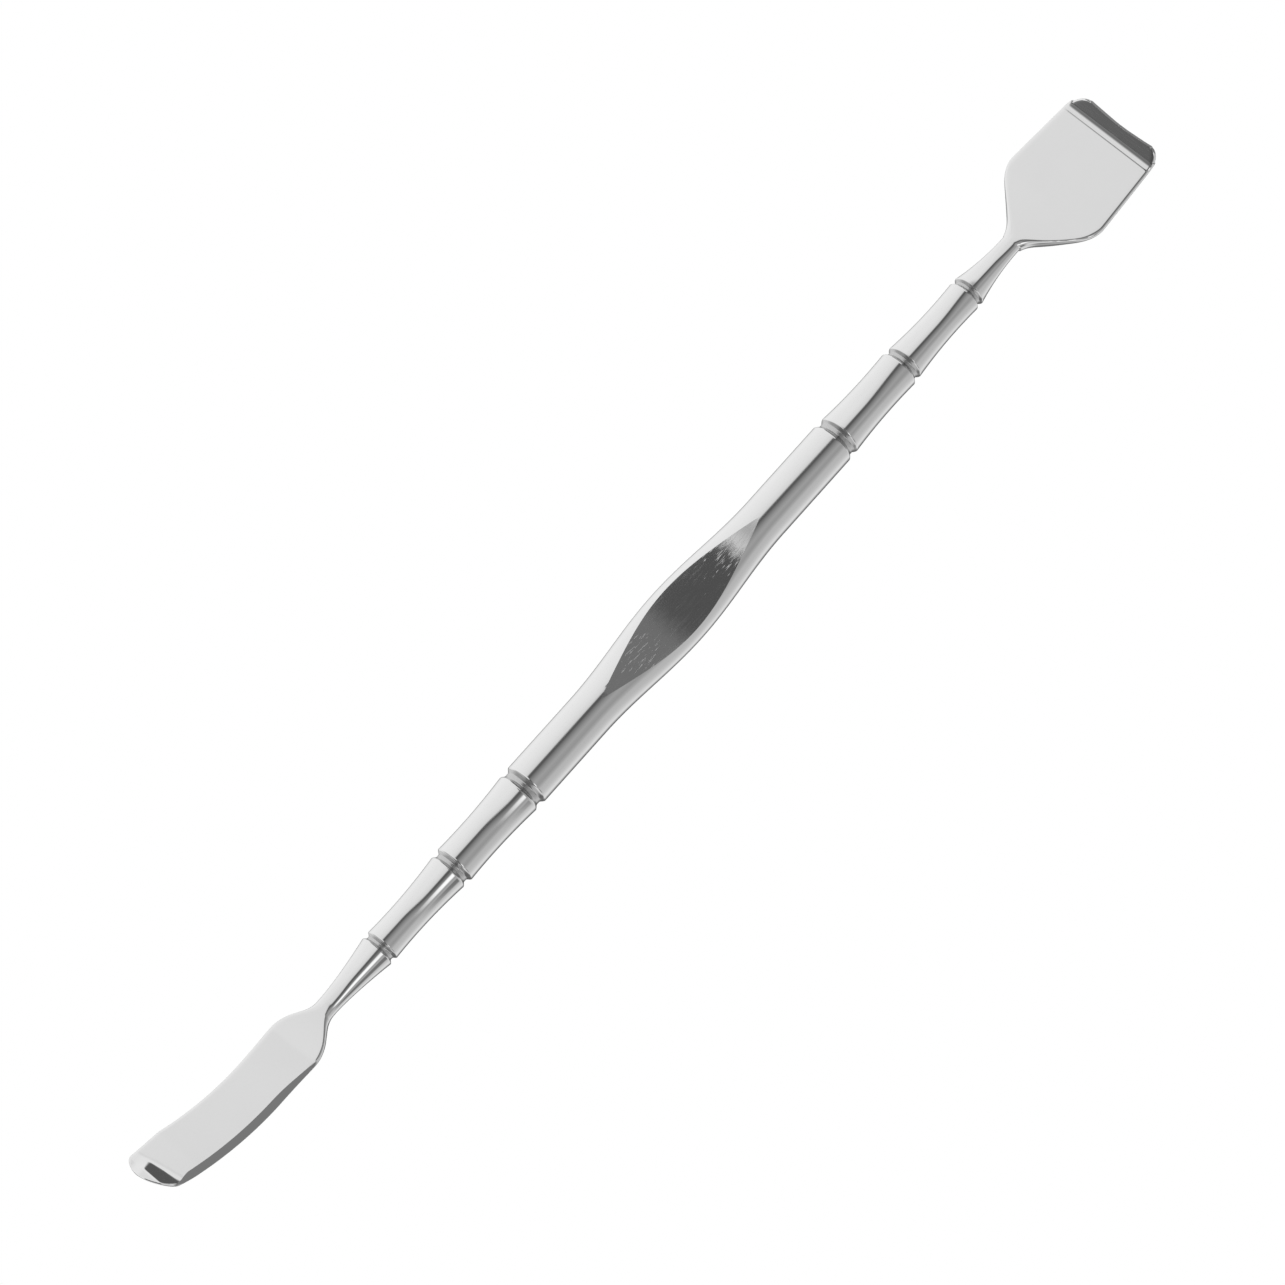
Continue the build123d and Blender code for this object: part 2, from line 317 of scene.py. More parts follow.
def mark_borders_sharp(piece):
    """Sharp edges where a ground flat meets the rest of the piece."""
    activate(piece)
    bpy.ops.object.mode_set(mode="EDIT")
    bpy.ops.mesh.select_mode(type="EDGE")
    bpy.ops.mesh.select_all(action="DESELECT")
    work = bmesh.from_edit_mesh(piece.data)
    ground = [slot.name for slot in piece.material_slots].index("Ground flat")
    for edge in work.edges:
        cut = [face.material_index == ground for face in edge.link_faces]
        edge.select = any(cut) and not all(cut)
    bmesh.update_edit_mesh(piece.data)
    bpy.ops.mesh.mark_sharp()
    bpy.ops.object.mode_set(mode="OBJECT")


class SPATULA_OT_handle(bpy.types.Operator):
    """Turned bamboo-pattern bar with a swollen, ground grip and a bore in each end"""

    bl_idname = "spatula.handle"
    bl_label = "Handle"

    def execute(self, context):
        sizes = context.scene.spatula_sizes
        profile = turned_profile(sizes)
        bore_end = SEAM_X - sizes.tang_length
        loft = BarLoft("handle_bar", -bore_end, sizes.tang_radius)
        loft.grow(-SEAM_X, sizes.tang_radius)
        for x, radius in reversed(profile):
            loft.grow(-x, radius)
        widening = sizes.grip_half_width / sizes.bar_radius - 1
        swell_before = 1.0
        for x in steps(GRIP_CENTRE - GRIP_HALF, GRIP_CENTRE + GRIP_HALF, 72):
            along = (x - GRIP_CENTRE) / GRIP_HALF
            swell = 1 + widening * (1 + math.cos(math.pi * along)) / 2
            loft.grow(x, sizes.bar_radius, swell / swell_before)
            swell_before = swell
        for x, radius in profile:
            loft.grow(x, radius)
        loft.grow(SEAM_X, sizes.tang_radius)
        loft.grow(bore_end, sizes.tang_radius)
        bar = loft.done()
        bar.data.materials.append(material("Polished steel"))
        bar.data.materials.append(material("Turned groove with painted shade"))
        # the groove faces get the turned finish, whose darker colour is painted shade
        finish_faces(bar, "Turned groove with painted shade", in_groove)
        for side in (-1, 1):
            block = add_grinder(sizes, side)
            activate(bar)
            cut = bar.modifiers.new("flat", "BOOLEAN")
            cut.operation = "DIFFERENCE"
            cut.solver = "EXACT"
            cut.material_mode = "TRANSFER"
            cut.object = block
            bpy.ops.object.modifier_apply(modifier=cut.name)
            bpy.data.objects.remove(block)
        mark_borders_sharp(bar)
        hand_in(bar, "handle", smooth_angle=40)
        return {"FINISHED"}


# ---- blades ----
TANG_END_GAP = 0.1 * MM
TANG_SIDE_GAP = 0.02 * MM
NECK_X = 62.2 * MM
NECK_HALF_WIDTH = 1.25 * MM
NECK_HALF_HEIGHT = 1.0 * MM
NECK_FLATTENING = 0.8
NECK_EASE = 4 * MM
PLATE_OFFSET = -0.15 * MM
BEVEL_TURN = 2 * math.pi * 15 / SIDES  # a bevel takes 15 points of a section on each face
BEVEL_SLOPE = 0.98


def start_blade(name, sizes, neck_power):
    """Tang, half of the seam groove, collar and neck, drawn along +X."""
    tang_radius = sizes.tang_radius - TANG_SIDE_GAP
    loft = BarLoft(name, SEAM_X - sizes.tang_length + TANG_END_GAP, tang_radius)
    loft.grow(SEAM_X, tang_radius)
    rim_x, rim_radius = SEAM_GROOVE.place + SEAM_GROOVE.half_width, SEAM_GROOVE.outer_rim
    for x in [SEAM_X] + steps(SEAM_X, rim_x, 16):
        loft.grow(x, groove_radius(x, SEAM_GROOVE, sizes.groove_depth))
    for x in steps(rim_x, NECK_X, 24):
        away = (1 - (x - rim_x) / (NECK_X - rim_x)) ** neck_power
        half_width = blend(NECK_HALF_WIDTH, rim_radius, away)
        half_height = blend(NECK_HALF_HEIGHT, rim_radius, away)
        square = 2 + NECK_FLATTENING * ease_over(x, NECK_X - NECK_EASE, NECK_EASE)
        loft.section(plate_section(x, half_width, -half_width, half_height, square))
    return loft


def gather_points(across, bevel_share):
    """Shift a section's points across it, so that the same few always draw the bevel."""
    own_share = 1 - math.cos(BEVEL_TURN)
    from_edge = 1 + across
    if from_edge < own_share:
        return from_edge / own_share * bevel_share - 1
    squeeze = (2 - bevel_share) / (2 - own_share)
    return bevel_share + (from_edge - own_share) * squeeze - 1


def bevelled_rise(rise, upper, inside, bevel, half_height):
    """Height of a section's point that lies inside by so much from its bevelled edge."""
    if inside >= bevel:
        return rise
    if upper:
        line = half_height - BEVEL_SLOPE * (bevel - inside)
        return min(rise, line) if bevel < half_height else line
    edge = min(half_height - BEVEL_SLOPE * bevel, 0)
    return min(rise, blend(edge, -half_height, inside / bevel))


def plate_section(
    x, y_high, y_low, half_height, square=2.0, z=0.0, tilt=0.0, lag=0.0, roll=0.0, bevel=0.0
):
    """Cross-section between two side edges, from round (square 2) to flat with rounded edges.

    tilt turns it about Y, roll lowers its +Y side, lag holds its middle back, which hollows a
    free end, and bevel is the width of a 45 degree bevel along its upper -Y edge."""
    middle, half = (y_high + y_low) / 2, (y_high - y_low) / 2

    def place(turn):
        across = math.cos(turn)
        upper = math.sin(turn) > 0 and abs(across) < 1 - 1e-9
        if bevel > 0:
            across = gather_points(across, bevel / half)
        rise = half_height * math.sqrt(max(1 - min(abs(across), 1) ** square, 0))
        if not upper:
            rise = -rise
        if bevel > 0:
            rise = bevelled_rise(rise, upper, (1 + across) * half, bevel, half_height)
        back = lag * (1 - across * across)
        return Vector(
            (
                x - rise * math.sin(tilt) - back * math.cos(tilt),
                middle + half * across,
                z + rise * math.cos(tilt) - back * math.sin(tilt) - roll * half * across,
            )
        )

    return place


BROAD_SHOULDER_X = 69.6 * MM
BROAD_SHOULDER = 7.34 * MM
BROAD_SHOULDER_REACH = 1.9 * MM
BROAD_NECK_REACH = 1.4 * MM
BROAD_FLARE_X = 62.64 * MM
BROAD_FLARE_WIDTH = {1: 0.875 * MM, -1: 1.12 * MM}
BROAD_FLARE_SLOPE = 0.93
BROAD_ROLL = math.radians(1.6)
BROAD_SQUARE = 45
FOLD_X = 80.3 * MM
LIP_SQUARE = 48
LIP_HALF_WIDTH = 6.7 * MM
LIP_MIDDLE_X = BROAD_HIGH.x - 1.8 * MM
LIP_ANGLE = math.radians(45)
LIP_BEND_RADIUS = 1.7 * MM
LIP_LENGTH = 1.55 * MM
LIP_HOLLOW = 0.3 * MM
LIP_TRIM = 0.02 * MM
LIP_FACE_X = FOLD_X + 1.1 * MM
LIP_FACING = 0.9
CORNER_CUTS = {1: 2.2 * MM, -1: 1.4 * MM}


def broad_half_width(x, side):
    """Half width of neck, flare and plate before the lip's corners are cut."""
    flare = BROAD_FLARE_WIDTH[side] + BROAD_FLARE_SLOPE * (x - BROAD_FLARE_X)
    slope = (LIP_HALF_WIDTH - BROAD_SHOULDER) / (LIP_MIDDLE_X - BROAD_SHOULDER_X)
    edge = BROAD_SHOULDER + slope * (x - BROAD_SHOULDER_X)
    plate = soft_least(flare, edge, BROAD_SHOULDER_REACH)
    return soft_most(NECK_HALF_WIDTH, plate, BROAD_NECK_REACH)


def broad_edge(x, side):
    """Side edge in Y at x, with the lip's corner rounded off."""
    cut = CORNER_CUTS[side]
    past = max(x - (BROAD_HIGH.x - cut), 0) / cut
    drop = cut * (1 - math.sqrt(max(1 - min(past, 1) ** 2, 0)))
    offset = PLATE_OFFSET * ease_over(x, NECK_X, NECK_EASE)
    return offset + side * (broad_half_width(x, side) - drop)


class SPATULA_OT_broad_blade(bpy.types.Operator):
    """Broad flared plate on a thin neck, with its end folded up into a ground lip"""

    bl_idname = "spatula.broad_blade"
    bl_label = "Broad blade"

    def execute(self, context):
        sizes = context.scene.spatula_sizes
        loft = start_blade("broad_scraper", sizes, 2.0)
        half = sizes.broad_thickness / 2
        for x in steps(NECK_X, FOLD_X, 96):
            share = (x - NECK_X) / (BROAD_SHOULDER_X - NECK_X)
            height = blend(NECK_HALF_HEIGHT, half, ease(share))
            square = 2 + NECK_FLATTENING + BROAD_SQUARE * ease(1.5 * share) ** 1.5
            roll = BROAD_ROLL * ease(share)
            edges = (broad_edge(x, 1), broad_edge(x, -1))
            loft.section(plate_section(x, *edges, height, square, roll=roll))
        middle_radius = LIP_BEND_RADIUS + half
        for tilt in steps(0, LIP_ANGLE, 14):
            x = FOLD_X + middle_radius * math.sin(tilt)
            z = middle_radius * (1 - math.cos(tilt))
            edges = (broad_edge(x, 1), broad_edge(x, -1))
            loft.section(
                plate_section(x, *edges, half, LIP_SQUARE, z, tilt, roll=BROAD_ROLL)
            )
        for past in steps(0, LIP_LENGTH, 22):
            share = past / LIP_LENGTH
            lip_half = blend(half, sizes.lip_thickness / 2, share)
            inset = half - lip_half
            at_x = x + past * math.cos(LIP_ANGLE) - inset * math.sin(LIP_ANGLE)
            at_z = z + past * math.sin(LIP_ANGLE) + inset * math.cos(LIP_ANGLE)
            edge_x = min(at_x + lip_half * math.sin(LIP_ANGLE), BROAD_HIGH.x)
            edges = (broad_edge(edge_x, 1), broad_edge(edge_x, -1))
            lag = LIP_HOLLOW * ease(share)
            loft.section(
                plate_section(
                    at_x - LIP_TRIM * share, *edges, lip_half, LIP_SQUARE,
                    at_z, LIP_ANGLE, lag, BROAD_ROLL,
                )
            )
        finish_blade(loft.done(), "broad_blade")
        return {"FINISHED"}


SWEEP_X = 74.0 * MM
SWEEP_RADIUS = 44.0 * MM
NARROW_FLARE_X = 63.3 * MM
NARROW_FLARE_WIDTH = 0.95 * MM
NARROW_FLARE_SLOPE = 0.66
NARROW_SHOULDER_X = 67.1 * MM
NARROW_SHOULDER = 3.45 * MM
NARROW_SHOULDER_REACH = 1.0 * MM
NARROW_NECK_REACH = 0.6 * MM
NARROW_HALF_WIDTH = 3.3 * MM
NARROW_TAPER = 7 * MM
NARROW_FLAT_X = 68.6 * MM
NARROW_SQUARE = 25
NARROW_ROLL = math.radians(4.5)
TIP_X = 90.8 * MM
TIP_Y = 3.4 * MM
TIP_STRAIGHT_X = 85.6 * MM
TIP_INNER_Y = 5.46 * MM
TIP_ROUNDING = {1: (89.5 * MM, 2.0), -1: (88.6 * MM, 1.7)}  # where it starts, and its power
# the rings stand closer together towards the tip: up to where, and how many
NARROW_RINGS = ((88.4 * MM, 110), (90.6 * MM, 26), (TIP_X - 0.004 * MM, 10))
CURL_BENDS = ((88.25 * MM, 88.85 * MM), (89.7 * MM, 90.1 * MM))
CURL_SLOPE = 0.54
CURL_SLANT = 0.17
CURL_TOP_Y = 2.9 * MM
CURL_FADE = 0.35
CURL_FADE_LENGTH = 1.6 * MM
BEVEL_START_X = 63.5 * MM
BEVEL_WIDTH = 0.86 * MM
BEVEL_ROOT = (0.16, 65 * MM, 10 * MM)  # share of the width, where it grows, over what length
BEVEL_TIP = (0.3, 86.6 * MM, 2.2 * MM)


def narrow_edge(x, side):
    """Side edge in Y at distance x from the origin, side 1 on the inner side of the sweep."""
    flare = NARROW_FLARE_WIDTH + NARROW_FLARE_SLOPE * (x - NARROW_FLARE_X)
    taper = ease_over(x, NARROW_SHOULDER_X, NARROW_TAPER)
    plate = blend(NARROW_SHOULDER, NARROW_HALF_WIDTH, taper)
    plate = soft_least(flare, plate, NARROW_SHOULDER_REACH)
    half = soft_most(NECK_HALF_WIDTH, plate, NARROW_NECK_REACH)
    bend = 0.0
    if x > SWEEP_X:
        radius = SWEEP_RADIUS - side * half
        bend = radius - math.sqrt(radius**2 - (x - SWEEP_X) ** 2)
    edge = PLATE_OFFSET * ease_over(x, NECK_X, NECK_EASE) + side * half + bend
    if side > 0 and x > TIP_STRAIGHT_X:
        past_bend = (x - TIP_STRAIGHT_X) / (TIP_X - TIP_STRAIGHT_X)
        edge = blend(narrow_edge(TIP_STRAIGHT_X, 1), TIP_INNER_Y, past_bend)
    start, power = TIP_ROUNDING[side]
    past = min(max((x - start) / (TIP_X - start), 0), 1)
    return blend(edge, TIP_Y, 1 - (1 - past**power) ** (1 / power))


def bevel_width(x):
    """Width of the narrow blade's bevel, which grows from the root and fades at the tip."""
    if x < BEVEL_START_X:
        return 0
    grown = blend(BEVEL_ROOT[0], 1, ease_over(x, *BEVEL_ROOT[1:]))
    return BEVEL_WIDTH * grown * blend(1, BEVEL_TIP[0], ease_over(x, *BEVEL_TIP[1:]))


def ease_area(x, start, end):
    """Area below the smooth step up to x, for a surface that bends from start to end."""
    share = min(max((x - start) / (end - start), 0), 1)
    return (end - start) * (share**3 - share**4 / 2) + max(x - end, 0)


def curl_lift(point):
    """How far the turned-up tip lifts a point of the narrow blade."""
    below = CURL_TOP_Y - point.y
    bend = ease_area(point.x + CURL_SLANT * below, *CURL_BENDS[0])
    level = ease_area(point.x, *CURL_BENDS[1])
    fade = blend(1, CURL_FADE, ease(-below / CURL_FADE_LENGTH))
    return CURL_SLOPE * max(bend - level, 0) * fade


class SPATULA_OT_narrow_blade(bpy.types.Operator):
    """Narrow blade, swept sideways, with a ground bevel outside and a curled-up tip"""

    bl_idname = "spatula.narrow_blade"
    bl_label = "Narrow blade"

    def execute(self, context):
        sizes = context.scene.spatula_sizes
        loft = start_blade("narrow_sweep", sizes, 1.5)
        half = sizes.narrow_thickness / 2
        places, start = [], NECK_X
        for end, count in NARROW_RINGS:
            places += steps(start, end, count)
            start = end
        for x in places:
            share = (x - NECK_X) / (NARROW_FLAT_X - NECK_X)
            height = blend(NECK_HALF_HEIGHT, half, ease(share))
            square = 2 + NECK_FLATTENING + NARROW_SQUARE * ease(1.4 * share) ** 1.6
            flat = plate_section(
                x, narrow_edge(x, 1), narrow_edge(x, -1), height, square,
                roll=NARROW_ROLL * ease(share), bevel=bevel_width(x),
            )

            def curled(turn, flat=flat):
                point = flat(turn)
                point.z += curl_lift(point)
                return point

            loft.section(curled)
        blade = loft.done()
        activate(blade)
        bpy.ops.object.mode_set(mode="EDIT")
        bpy.ops.mesh.select_all(action="SELECT")
        bpy.ops.transform.mirror(
            orient_type="GLOBAL",
            constraint_axis=(True, False, False),
            center_override=(0, 0, 0),
        )
        bpy.ops.mesh.normals_make_consistent(inside=False)
        bpy.ops.object.mode_set(mode="OBJECT")
        finish_blade(blade, "narrow_blade")
        return {"FINISHED"}


def on_lip(face):
    """True for the ground upper face of the broad blade's lip, which gets a painted shade."""
    facing = math.sin(LIP_ANGLE) * -face.normal.x + math.cos(LIP_ANGLE) * face.normal.z
    return face.center.x > LIP_FACE_X and facing > LIP_FACING


def finish_blade(blade, node):
    """Give a blade its three finishes, the lip's and the grooves' darker colours being painted
    shade, and put it on the frame in place of its CAD node.
    """
    for name in ("Polished steel", "Turned groove with painted shade", "Ground lip with painted shade"):
        blade.data.materials.append(material(name))
    # the groove faces get the turned finish, whose darker colour is painted shade
    finish_faces(blade, "Turned groove with painted shade", in_groove)
    # the lip face, picked by the way it faces, gets the ground finish with painted shade
    finish_faces(blade, "Ground lip with painted shade", on_lip)
    hand_in(blade, node, smooth_angle=16)


def hand_in(piece, node, smooth_angle):
    """Shade a finished piece, smooth up to an angle in degrees, and put it on the frame in
    place of its CAD node."""
    activate(piece)
    bpy.ops.object.shade_smooth_by_angle(angle=math.radians(smooth_angle), keep_sharp_edges=True)
    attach(piece, "root")
    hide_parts(node)


# ---- finishes ----
MIX_A, MIX_B = 2, 3  # a Mix node's sockets for numbers
MIX_COLOUR_A, MIX_COLOUR_B, MIX_COLOUR_OUT = 6, 7, 2
SCRATCH_LEVELS = (0.52, 0.75)
SCRATCH_ROUGHENING = 0.25
UNEVEN_SHADE = 0.97
CLUSTERS = ((-8.0 * MM, 5.5 * MM), (8.2 * MM, 4.5 * MM))  # middle and reach of each
CLUSTER_STRETCH = (420, 6500, 6500)
CLUSTER_GATHER = 0.155
CLUSTER_LEVEL = 0.74
CLUSTER_EDGE = 0.05
CLUSTER_ROUGHENING = 0.55
# The lip's and the grooves' darker colours are painted shade, standing in for the dark reflections
# those faces show; their roughness and scratches are the real ground and turned finish.
LIP_PAINTED_SHADE, LIP_ROUGHNESS = 0.5, 0.2
GROOVE_PAINTED_SHADE, GROOVE_ROUGHNESS = 0.75, 0.22


class NodeBench:
    """Adds nodes to one tree. A value is a number or another node's output."""

    def __init__(self, tree):
        self.nodes, self.links = tree.nodes, tree.links

    def feed(self, socket, value):
        if isinstance(value, (int, float)):
            socket.default_value = value
        else:
            self.links.new(value, socket)

    def math(self, operation, *values):
        node = self.nodes.new("ShaderNodeMath")
        node.operation = operation
        for socket, value in zip(node.inputs, values):
            self.feed(socket, value)
        return node.outputs[0]

    def product(self, a, b):
        return self.math("MULTIPLY", a, b)

    def remainder(self, share):
        """What is left of 1."""
        return self.math("SUBTRACT", 1.0, share)

    def remap(self, value, low, high, to_low=0.0, to_high=1.0, kind="LINEAR"):
        node = self.nodes.new("ShaderNodeMapRange")
        node.interpolation_type = kind
        node.inputs["From Min"].default_value = low
        node.inputs["From Max"].default_value = high
        node.inputs["To Min"].default_value = to_low
        node.inputs["To Max"].default_value = to_high
        self.feed(node.inputs["Value"], value)
        return node.outputs["Result"]

    def ramp_up(self, value, low, high):
        """Smooth step from 0 at low to 1 at high."""
        return self.remap(value, low, high, kind="SMOOTHSTEP")

    def ramp_down(self, value, low, high):
        """Smooth step from 1 at low to 0 at high."""
        return self.remainder(self.ramp_up(value, low, high))

    def noise(self, vector, scale, detail):
        node = self.nodes.new("ShaderNodeTexNoise")
        node.inputs["Scale"].default_value = scale
        node.inputs["Detail"].default_value = detail
        self.feed(node.inputs["Vector"], vector)
        return node.outputs["Fac"]

    def mix(self, share, low, high):
        node = self.nodes.new("ShaderNodeMix")
        self.feed(node.inputs["Factor"], share)
        self.feed(node.inputs[MIX_A], low)
        self.feed(node.inputs[MIX_B], high)
        return node.outputs[0]


def material(name):
    """A named finish, made the first time it is asked for."""
    found = bpy.data.materials.get(name)
    if found:
        return found
    made = bpy.data.materials.new(name)
    made.use_nodes = True
    return made


def scratch_group():
    """Fine lengthwise scratches as a mask, and a soft unevenness."""
    group = bpy.data.node_groups.new("Fine scratches", "ShaderNodeTree")
    faces = group.interface
    for name, default in (("Across", 900.0), ("Along", 40.0), ("Strength", 0.5)):
        socket = faces.new_socket(name=name, in_out="INPUT", socket_type="NodeSocketFloat")
        socket.default_value = default
    for name in ("Scratches", "Unevenness"):
        faces.new_socket(name=name, in_out="OUTPUT", socket_type="NodeSocketFloat")
    bench = NodeBench(group)
    entry = group.nodes.new("NodeGroupInput")
    leave = group.nodes.new("NodeGroupOutput")
    place = group.nodes.new("ShaderNodeTexCoord").outputs["Object"]
    stretch = group.nodes.new("ShaderNodeCombineXYZ")
    for axis, name in zip("XYZ", ("Along", "Across", "Across")):
        bench.feed(stretch.inputs[axis], entry.outputs[name])
    scaled = group.nodes.new("ShaderNodeVectorMath")
    scaled.operation = "MULTIPLY"
    bench.feed(scaled.inputs[0], place)
    bench.feed(scaled.inputs[1], stretch.outputs[0])
    lines = bench.noise(scaled.outputs[0], scale=1.0, detail=3.0)
    mask = bench.product(bench.remap(lines, *SCRATCH_LEVELS), entry.outputs["Strength"])
    bench.feed(leave.inputs["Scratches"], mask)
    bench.feed(leave.inputs["Unevenness"], bench.noise(place, scale=180.0, detail=2.0))
    return group


def steel(name, group, colour, roughness, across, along, strength, dent):
    """A steel finish: fine scratches raise the roughness and dent the surface a little."""
    made = material(name)
    nodes = made.node_tree.nodes
    bench = NodeBench(made.node_tree)
    shader = nodes["Principled BSDF"]
    shader.inputs["Metallic"].default_value = 1.0
    effect = nodes.new("ShaderNodeGroup")
    effect.node_tree = group
    effect.inputs["Across"].default_value = across
    effect.inputs["Along"].default_value = along
    effect.inputs["Strength"].default_value = strength
    scratches = effect.outputs["Scratches"]
    rough = bench.remap(scratches, 0, 1, roughness, roughness + SCRATCH_ROUGHENING)
    bench.feed(shader.inputs["Roughness"], rough)
    tint = nodes.new("ShaderNodeMix")
    tint.data_type = "RGBA"
    bench.feed(tint.inputs["Factor"], effect.outputs["Unevenness"])
    tint.inputs[MIX_COLOUR_A].default_value = (*[UNEVEN_SHADE * c for c in colour], 1)
    tint.inputs[MIX_COLOUR_B].default_value = (*colour, 1)
    bench.feed(shader.inputs["Base Color"], tint.outputs[MIX_COLOUR_OUT])
    bump = nodes.new("ShaderNodeBump")
    bump.invert = True
    bump.inputs["Distance"].default_value = dent
    bump.inputs["Strength"].default_value = 1.0
    bench.feed(bump.inputs["Height"], scratches)
    bench.feed(shader.inputs["Normal"], bump.outputs["Normal"])
    return made


def scratch_clusters(flat):
    """Light, short scratches that gather near both ends of a ground flat."""
    nodes = flat.node_tree.nodes
    bench = NodeBench(flat.node_tree)
    roughness = nodes["Principled BSDF"].inputs["Roughness"]
    place = nodes.new("ShaderNodeTexCoord").outputs["Object"]
    split = nodes.new("ShaderNodeSeparateXYZ")
    bench.feed(split.inputs[0], place)
    gather = 0.0
    for middle, reach in CLUSTERS:
        away = bench.math("ABSOLUTE", bench.math("SUBTRACT", split.outputs["X"], middle))
        gather = bench.math("MAXIMUM", bench.ramp_up(away, reach, 0), gather)
    stretch = nodes.new("ShaderNodeMapping")
    stretch.inputs["Scale"].default_value = CLUSTER_STRETCH
    bench.feed(stretch.inputs["Vector"], place)
    lines = bench.noise(stretch.outputs[0], scale=1.0, detail=1.5)
    lines = bench.math("SUBTRACT", lines, CLUSTER_LEVEL)
    mask = bench.remap(bench.math("MULTIPLY_ADD", gather, CLUSTER_GATHER, lines), 0, CLUSTER_EDGE)
    plain = roughness.links[0].from_socket
    bench.feed(roughness, bench.math("MULTIPLY_ADD", mask, CLUSTER_ROUGHENING, plain))


class SPATULA_OT_finishes(bpy.types.Operator):
    """Polished steel, ground flat, ground lip and turned groove; the lip's and the grooves' darker
    colours are painted shade
    """

    bl_idname = "spatula.finishes"
    bl_label = "Steel finishes"

    def execute(self, context):
        finish = context.scene.spatula_finish
        group = scratch_group()
        steel(
            "Polished steel", group, finish.steel, finish.polish_roughness,
            across=3500, along=120, strength=0.5 * finish.scratches, dent=0.002 * MM,
        )
        flat = steel(
            "Ground flat", group, finish.ground_steel, finish.ground_roughness,
            across=5000, along=400, strength=1.2 * finish.scratches, dent=0.0015 * MM,
        )
        scratch_clusters(flat)
        # the lip's darker colour is painted shade; its rougher, scratched grinding is real
        steel(
            "Ground lip with painted shade", group, [LIP_PAINTED_SHADE * c for c in finish.ground_steel], LIP_ROUGHNESS,
            across=500, along=9000, strength=2 * finish.scratches, dent=0.003 * MM,
        )
        # the grooves' darker colour is painted shade; their rougher turned finish is real
        steel(
            "Turned groove with painted shade", group, [GROOVE_PAINTED_SHADE * c for c in finish.ground_steel],
            GROOVE_ROUGHNESS,
            across=500, along=9000, strength=1.5 * finish.scratches, dent=0.002 * MM,
        )
        return {"FINISHED"}


# ---- stage ----
DISPLAY_GAMMA = 2.2


def tone(value):
    """Light that polished steel reflects as a tone of value out of 255."""
    return (value / 255) ** DISPLAY_GAMMA / STEEL_SHADE


# angle round the bar in degrees, 0 straight up and 90 in front, and the tone of the sky there
SKY_TONES = (
    (-180, 90), (-165, 100), (-152, 150), (-141, 212), (-130, 228), (-110, 234), (-60, 227),
    (-40, 222), (-20, 212), (-14, 196), (-11, 115), (-8, 86), (-2, 84), (4, 110), (15, 134),
    (24, 148), (32, 156), (42, 150), (52, 147), (62, 160), (72, 178), (90, 182), (105, 192),
    (120, 209), (135, 220), (146, 180), (158, 112), (180, 90),
)
END_TONE, END_BEHIND_TONE, END_STRIP_TONE = 104, 168, 205
RIGHT_END_TONE = 84
LEFT_RIM_TONE = 226
OVERHEAD_SHIFT = 16.0  # how far the band overhead moves round, in degrees


def sky_ramp(nodes, stops):
    """A colour ramp round the bar, with one stop for each tone of the sky."""
    ramp = nodes.new("ShaderNodeValToRGB")
    elements = ramp.color_ramp.elements
    while len(elements) > 1:
        elements.remove(elements[-1])
    for number, (angle, value) in enumerate(stops):
        share = (angle + 180) / 360
        stop = elements[0] if number == 0 else elements.new(share)
        stop.position = share
        stop.color = (tone(value), tone(value), tone(value), 1)
    return ramp


